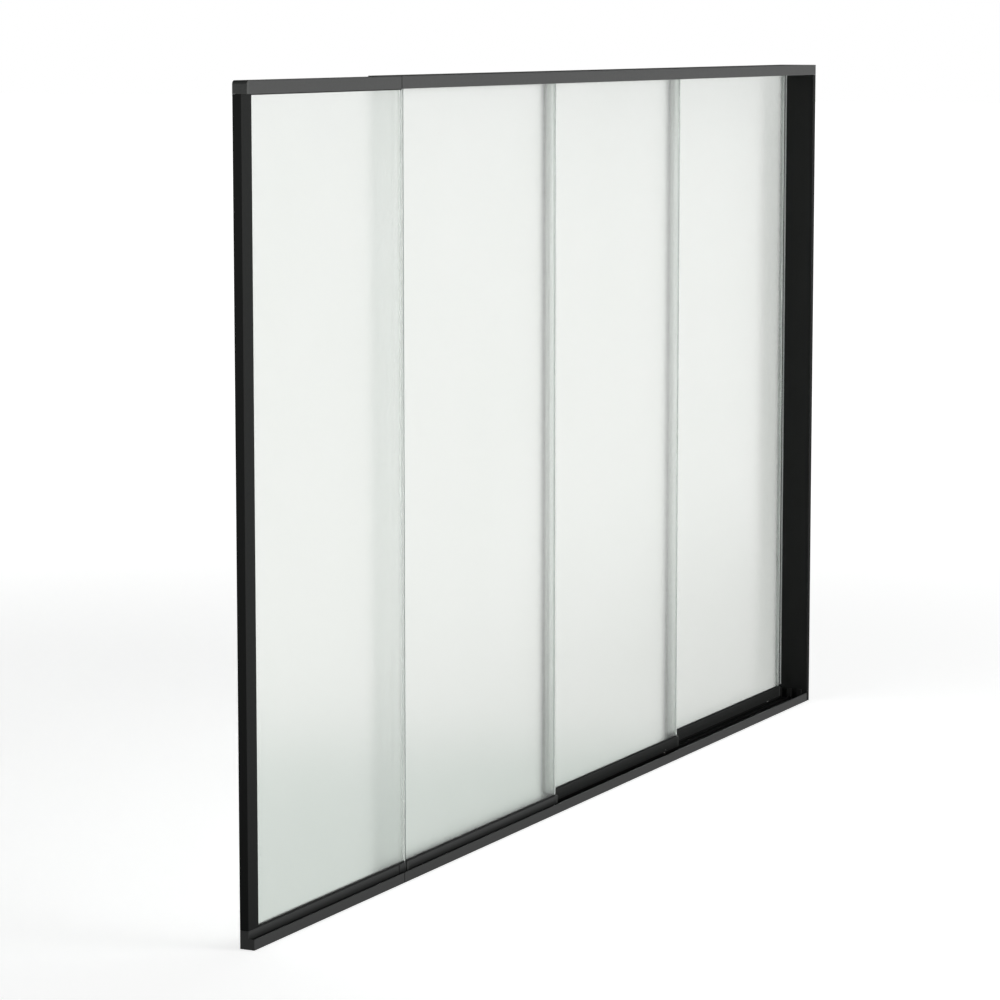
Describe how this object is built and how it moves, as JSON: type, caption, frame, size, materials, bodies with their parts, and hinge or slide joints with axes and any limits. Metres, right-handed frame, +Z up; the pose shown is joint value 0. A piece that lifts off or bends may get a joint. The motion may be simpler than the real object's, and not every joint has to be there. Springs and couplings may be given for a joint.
{
  "type": "sliding glass screen",
  "caption": "Full-height frosted glass screen: a fixed pane beside panels that slide past each other on a slim dark metal multi-track frame.",
  "frame": {"origin": "middle of the length and depth, on the surface the screen stands on", "axes": "+X along the screen to the end with the deep jamb, +Y from the front to the back, +Z up"},
  "size_m": [3.7, 0.12, 2.096],
  "materials": {
    "powder_coat": "fine matt anthracite powder coat on aluminium",
    "black_coat": "fine matt black powder coat on aluminium",
    "frosted_glass": "satin frosted toughened glass with a faint green tint",
    "clear_profile": "clear extruded draught profile, slightly milky",
    "brush_pile": "light grey woven pile",
    "black_rubber": "matt black glazing rubber",
    "dark_plastic": "moulded anthracite plastic",
    "nylon": "turned natural nylon",
    "steel": "plain stainless steel"
  },
  "bodies": {
    "frame": {"bottom_end_cap_left": "dark_plastic", "bottom_rail_main": "powder_coat", "bottom_rail_side": "powder_coat", "bottom_splice_plate": "steel", "bottom_track": "black_coat", "end_stop_front": "black_rubber", "end_stop_middle": "black_rubber", "end_stop_rear": "black_rubber", "left_jamb": "black_coat", "pane_1_gasket_bottom": "black_rubber", "pane_1_gasket_left": "black_rubber", "pane_1_gasket_top": "black_rubber", "pane_1_glass": "frosted_glass", "pane_1_setting_block_left": "dark_plastic", "pane_1_setting_block_right": "dark_plastic", "rear_closure": "clear_profile", "right_jamb": "black_coat", "seam_seal": "clear_profile", "top_end_cap_left": "dark_plastic", "top_end_cap_right": "dark_plastic", "top_guide_front": "dark_plastic", "top_guide_middle": "dark_plastic", "top_guide_rear": "dark_plastic", "top_rail_main": "powder_coat", "top_rail_side": "powder_coat", "top_splice_plate": "steel"},
    "panel_2": {"panel_2_axle_left": "steel", "panel_2_axle_right": "steel", "panel_2_cap_left": "dark_plastic", "panel_2_cap_right": "dark_plastic", "panel_2_draft_brush": "brush_pile", "panel_2_gasket": "black_rubber", "panel_2_glass": "frosted_glass", "panel_2_interlock": "clear_profile", "panel_2_shoe": "powder_coat"},
    "panel_3": {"panel_3_axle_left": "steel", "panel_3_axle_right": "steel", "panel_3_cap_left": "dark_plastic", "panel_3_cap_right": "dark_plastic", "panel_3_draft_brush": "brush_pile", "panel_3_gasket": "black_rubber", "panel_3_glass": "frosted_glass", "panel_3_interlock": "clear_profile", "panel_3_shoe": "powder_coat"},
    "panel_4": {"panel_4_axle_left": "steel", "panel_4_axle_right": "steel", "panel_4_cap_left": "dark_plastic", "panel_4_cap_right": "dark_plastic", "panel_4_gasket": "black_rubber", "panel_4_glass": "frosted_glass", "panel_4_nose_profile": "clear_profile", "panel_4_shoe": "powder_coat", "panel_4_wiper": "black_rubber"},
    "panel_2_roller_left": {"panel_2_roller_left": "nylon"},
    "panel_2_roller_right": {"panel_2_roller_right": "nylon"},
    "panel_3_roller_left": {"panel_3_roller_left": "nylon"},
    "panel_3_roller_right": {"panel_3_roller_right": "nylon"},
    "panel_4_roller_left": {"panel_4_roller_left": "nylon"},
    "panel_4_roller_right": {"panel_4_roller_right": "nylon"}
  },
  "joints": [
    {"name": "panel_2_slide", "type": "slide", "parent": "frame", "child": "panel_2", "axis": [1, 0, 0], "range_m": [0, 1.9]},
    {"name": "panel_3_slide", "type": "slide", "parent": "frame", "child": "panel_3", "axis": [1, 0, 0], "range_m": [-0.892, 0.944]},
    {"name": "panel_4_slide", "type": "slide", "parent": "frame", "child": "panel_4", "axis": [1, 0, 0], "range_m": [-1.849, 0]},
    {"name": "panel_2_roller_left_turn", "type": "hinge", "parent": "panel_2", "child": "panel_2_roller_left", "pos_m": [-0.926, -0.035, 0.0203], "axis": [0, 1, 0], "continuous": true},
    {"name": "panel_2_roller_right_turn", "type": "hinge", "parent": "panel_2", "child": "panel_2_roller_right", "pos_m": [-0.183, -0.035, 0.0203], "axis": [0, 1, 0], "continuous": true},
    {"name": "panel_3_roller_left_turn", "type": "hinge", "parent": "panel_3", "child": "panel_3_roller_left", "pos_m": [-0.015, 0, 0.0203], "axis": [0, 1, 0], "continuous": true},
    {"name": "panel_3_roller_right_turn", "type": "hinge", "parent": "panel_3", "child": "panel_3_roller_right", "pos_m": [0.774, 0, 0.0203], "axis": [0, 1, 0], "continuous": true},
    {"name": "panel_4_roller_left_turn", "type": "hinge", "parent": "panel_4", "child": "panel_4_roller_left", "pos_m": [0.942, 0.035, 0.0203], "axis": [0, 1, 0], "continuous": true},
    {"name": "panel_4_roller_right_turn", "type": "hinge", "parent": "panel_4", "child": "panel_4_roller_right", "pos_m": [1.71, 0.035, 0.0203], "axis": [0, 1, 0], "continuous": true}
  ],
  "couplings": [
    {"joint": "panel_2_roller_left_turn", "follows": "panel_2_slide", "rad_per_m": 125},
    {"joint": "panel_2_roller_right_turn", "follows": "panel_2_slide", "rad_per_m": 125},
    {"joint": "panel_3_roller_left_turn", "follows": "panel_3_slide", "rad_per_m": 125},
    {"joint": "panel_3_roller_right_turn", "follows": "panel_3_slide", "rad_per_m": 125},
    {"joint": "panel_4_roller_left_turn", "follows": "panel_4_slide", "rad_per_m": 125},
    {"joint": "panel_4_roller_right_turn", "follows": "panel_4_slide", "rad_per_m": 125}
  ]
}
